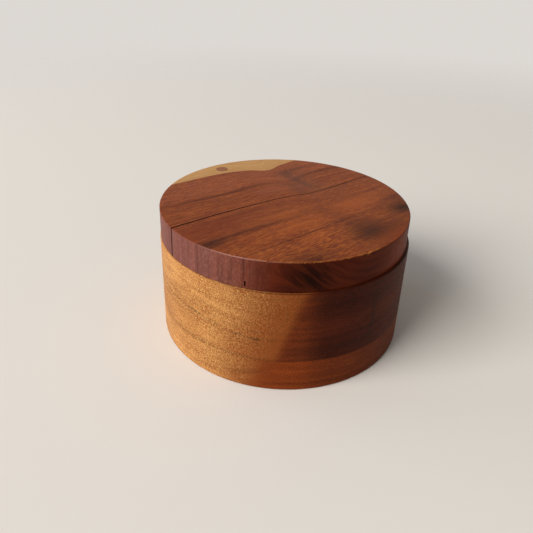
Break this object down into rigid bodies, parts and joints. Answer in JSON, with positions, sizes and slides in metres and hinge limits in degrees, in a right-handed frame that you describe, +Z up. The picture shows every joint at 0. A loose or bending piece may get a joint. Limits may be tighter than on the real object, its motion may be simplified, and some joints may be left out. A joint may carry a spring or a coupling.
{
  "type": "spice box",
  "caption": "Round hardwood spice box bored from one block, with a thick flat lid that swivels on a dowel near its edge and is held shut by magnets.",
  "frame": {"origin": "centre of the flat underside, on the axis of the round body", "axes": "+Z up, +Y towards the dowel that the lid swivels on, +X along the grain of the wood"},
  "size_m": [0.12, 0.12, 0.0635],
  "materials": {
    "body_wood": "oiled satin, golden to red-brown",
    "lid_wood": "oiled satin, red-brown heartwood with a pale strip of sapwood",
    "dowel_wood": "oiled end grain, dark red-brown",
    "magnet_plating": "bright nickel plating"
  },
  "bodies": {
    "box": {"box_body": "body_wood", "pivot_dowel": "dowel_wood", "rim_magnet": "magnet_plating"},
    "lid": {"lid": "lid_wood", "lid_magnet": "magnet_plating"}
  },
  "joints": [
    {"name": "lid_swivel", "type": "hinge", "parent": "box", "child": "lid", "pos_m": [0, 0.05225, 0.0565], "axis": [0, 0, 1], "continuous": true}
  ]
}
